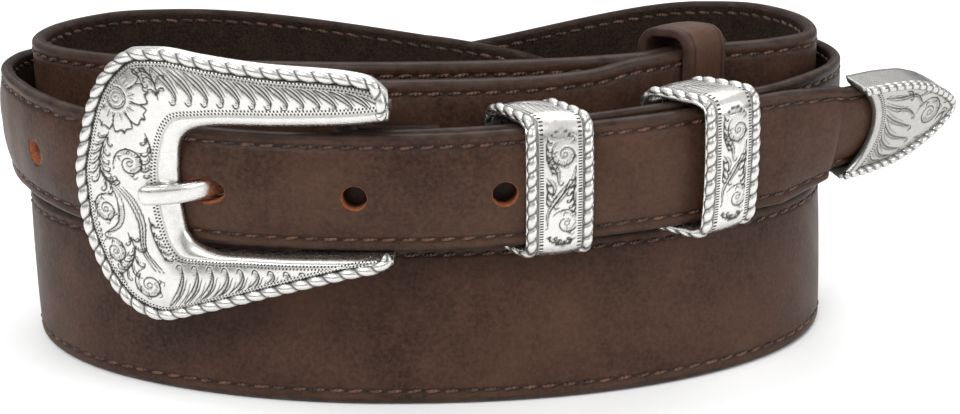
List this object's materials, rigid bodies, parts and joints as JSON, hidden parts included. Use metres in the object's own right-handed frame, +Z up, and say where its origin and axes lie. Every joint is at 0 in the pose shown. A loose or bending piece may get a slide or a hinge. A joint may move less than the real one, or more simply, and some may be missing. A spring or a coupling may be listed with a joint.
{
  "type": "ranger belt",
  "caption": "Western ranger belt of dark leather, buckled and coiled in two turns, with an engraved silver buckle, keepers and tip on narrower padded billets.",
  "frame": {"origin": "on the surface that the belt stands on, under the middle of its overall box", "axes": "+Z up across the strap's width, +X along the coil's long way towards the tip, -Y out of the buckle's face"},
  "size_m": [0.2418, 0.1278, 0.0856],
  "materials": {
    "dark_leather": "smooth dark brown leather with a soft sheen, rough inside",
    "loop_leather": "smooth reddish brown leather",
    "antique_silver": "polished silver with dark patina in the engraving",
    "stitch_thread": "waxed brown thread"
  },
  "bodies": {
    "root": {"main_strap": "dark_leather", "tip_billet": "dark_leather", "buckle_billet": "dark_leather", "leather_loop": "loop_leather", "buckle_frame": "antique_silver", "buckle_tongue": "antique_silver", "metal_keeper_1": "antique_silver", "metal_keeper_2": "antique_silver", "belt_tip": "antique_silver"}
  },
  "joints": []
}
